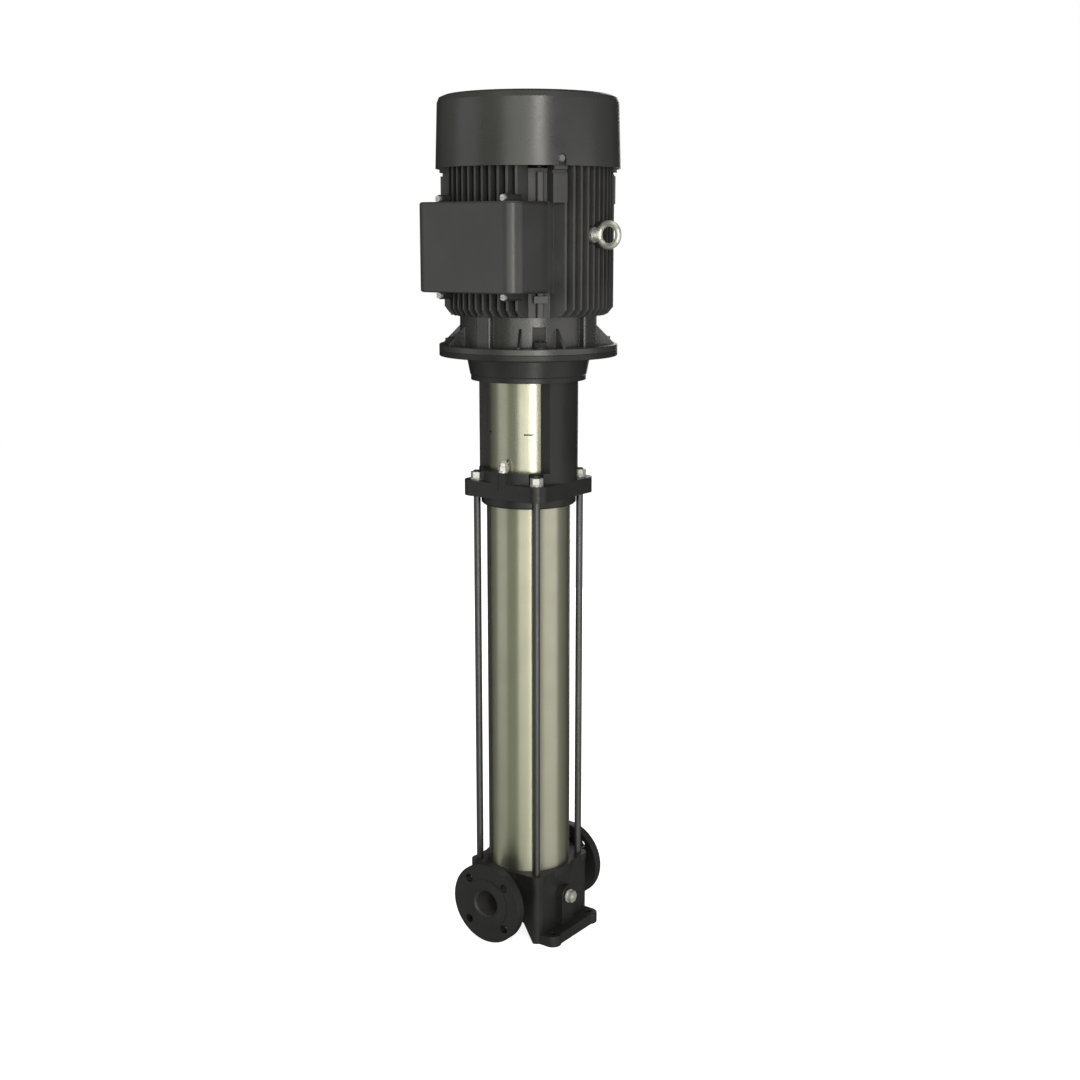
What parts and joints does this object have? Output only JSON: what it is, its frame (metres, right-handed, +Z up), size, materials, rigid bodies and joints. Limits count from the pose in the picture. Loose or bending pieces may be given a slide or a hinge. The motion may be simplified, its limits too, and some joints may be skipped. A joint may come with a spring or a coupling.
{
  "type": "vertical multistage pump",
  "caption": "Upright multistage centrifugal pump: in-line flanged base, steel sleeve clamped by tie rods, coupling stool with guards and a finned flange motor with terminal box.",
  "frame": {"origin": "centre of the foundation bolt pattern on the underside of the feet, on the shaft axis", "axes": "+Z up along the shaft; X along the in-line ports, suction at -X and discharge at +X; the terminal box faces -X; the drain plug is on -Y"},
  "size_m": [0.38, 0.428, 1.685],
  "materials": {
    "base_casting": "dark e-coated casting, satin, fine sand-cast grain",
    "stool_casting": "dark grey coat over cast iron, satin",
    "motor_casting": "dark grey paint over die casting, satin",
    "shield_casting": "dark grey paint over die casting, satin, coarser grain",
    "terminal_housing": "dark grey paint, satin",
    "fan_cover_sheet": "dark grey paint over pressed sheet steel, satin",
    "sleeve_steel": "stainless tube, fine brushed, warm reflections",
    "guard_steel": "polished stainless sheet",
    "rod_steel": "plain drawn steel, grey",
    "dark_steel": "blackened steel",
    "eye_steel": "bright zinc, lightly worn",
    "bright_steel": "bright zinc or stainless, lightly worn",
    "stack_steel": "pressed stainless sheet",
    "shaft_steel": "ground steel",
    "coupling_iron": "plain cast iron, machined bores",
    "core_steel": "stacked electrical sheet",
    "winding_copper": "enamelled copper, varnished",
    "fan_plastic": "moulded plastic, matt",
    "seal_rubber": "moulded rubber",
    "seal_carbide": "lapped carbide",
    "stud_brass": "turned brass"
  },
  "bodies": {
    "root": {"pump_base": "base_casting", "drain_plug_seal": "seal_rubber", "drain_plug": "bright_steel", "outer_sleeve": "sleeve_steel", "sleeve_seals": "seal_rubber", "tie_rods": "rod_steel", "tie_rod_washers": "bright_steel", "tie_rod_nuts": "bright_steel", "pump_head": "stool_casting", "vent_plug": "bright_steel", "motor_stool": "stool_casting", "coupling_guard_left": "guard_steel", "coupling_guard_right": "guard_steel", "inlet_part": "stack_steel", "stage_chambers": "stack_steel", "neck_rings": "seal_rubber", "bearing_rings": "seal_carbide", "stack_cage": "stack_steel", "stack_straps": "stack_steel", "seal_carrier": "stack_steel", "seal_carrier_screws": "bright_steel", "seal_stationary_ring": "seal_carbide", "drive_end_shield": "shield_casting", "flange_studs": "dark_steel", "flange_washers": "dark_steel", "flange_nuts": "dark_steel", "drive_end_bearing_outer": "shaft_steel", "fan_end_bearing_outer": "shaft_steel", "stator_core": "core_steel", "stator_windings": "winding_copper", "motor_frame": "motor_casting", "end_shield_screws": "dark_steel", "fan_end_shield": "motor_casting", "fan_cover": "fan_cover_sheet", "fan_cover_screws": "rod_steel", "terminal_box_body": "terminal_housing", "terminal_box_gasket": "seal_rubber", "terminal_box_lid": "terminal_housing", "terminal_lid_screws": "bright_steel", "terminal_board": "fan_plastic", "terminal_studs": "stud_brass", "cable_entry_plug": "fan_plastic", "eye_bolts": "eye_steel"},
    "rotor": {"pump_shaft": "shaft_steel", "impellers": "stack_steel", "impeller_spacers": "stack_steel", "seal_rotating_ring": "seal_carbide", "seal_bellows": "seal_rubber", "coupling_half_front": "coupling_iron", "coupling_half_rear": "coupling_iron", "coupling_screws": "bright_steel", "coupling_pin": "bright_steel", "motor_shaft": "shaft_steel", "rotor_core": "core_steel", "drive_end_bearing_inner": "shaft_steel", "fan_end_bearing_inner": "shaft_steel", "cooling_fan": "fan_plastic"},
    "drive_end_ball_set": {"drive_end_bearing_balls": "shaft_steel"},
    "fan_end_ball_set": {"fan_end_bearing_balls": "shaft_steel"},
    "vent_screw": {"vent_screw": "bright_steel"}
  },
  "joints": [
    {"name": "rotor_spin", "type": "hinge", "parent": "root", "child": "rotor", "pos_m": [0, 0, 1.2345], "axis": [0, 0, 1], "continuous": true},
    {"name": "drive_end_cage_spin", "type": "hinge", "parent": "root", "child": "drive_end_ball_set", "pos_m": [0, 0, 1.2345], "axis": [0, 0, 1], "continuous": true},
    {"name": "fan_end_cage_spin", "type": "hinge", "parent": "root", "child": "fan_end_ball_set", "pos_m": [0, 0, 1.5595], "axis": [0, 0, 1], "continuous": true},
    {"name": "vent_screw_turn", "type": "hinge", "parent": "root", "child": "vent_screw", "pos_m": [-0.09082, -0.00571, 0.97], "axis": [0, 0, 1], "range_deg": [0, 360]}
  ],
  "couplings": [
    {"joint": "drive_end_cage_spin", "follows": "rotor_spin", "ratio": 0.38},
    {"joint": "fan_end_cage_spin", "follows": "rotor_spin", "ratio": 0.4031}
  ]
}
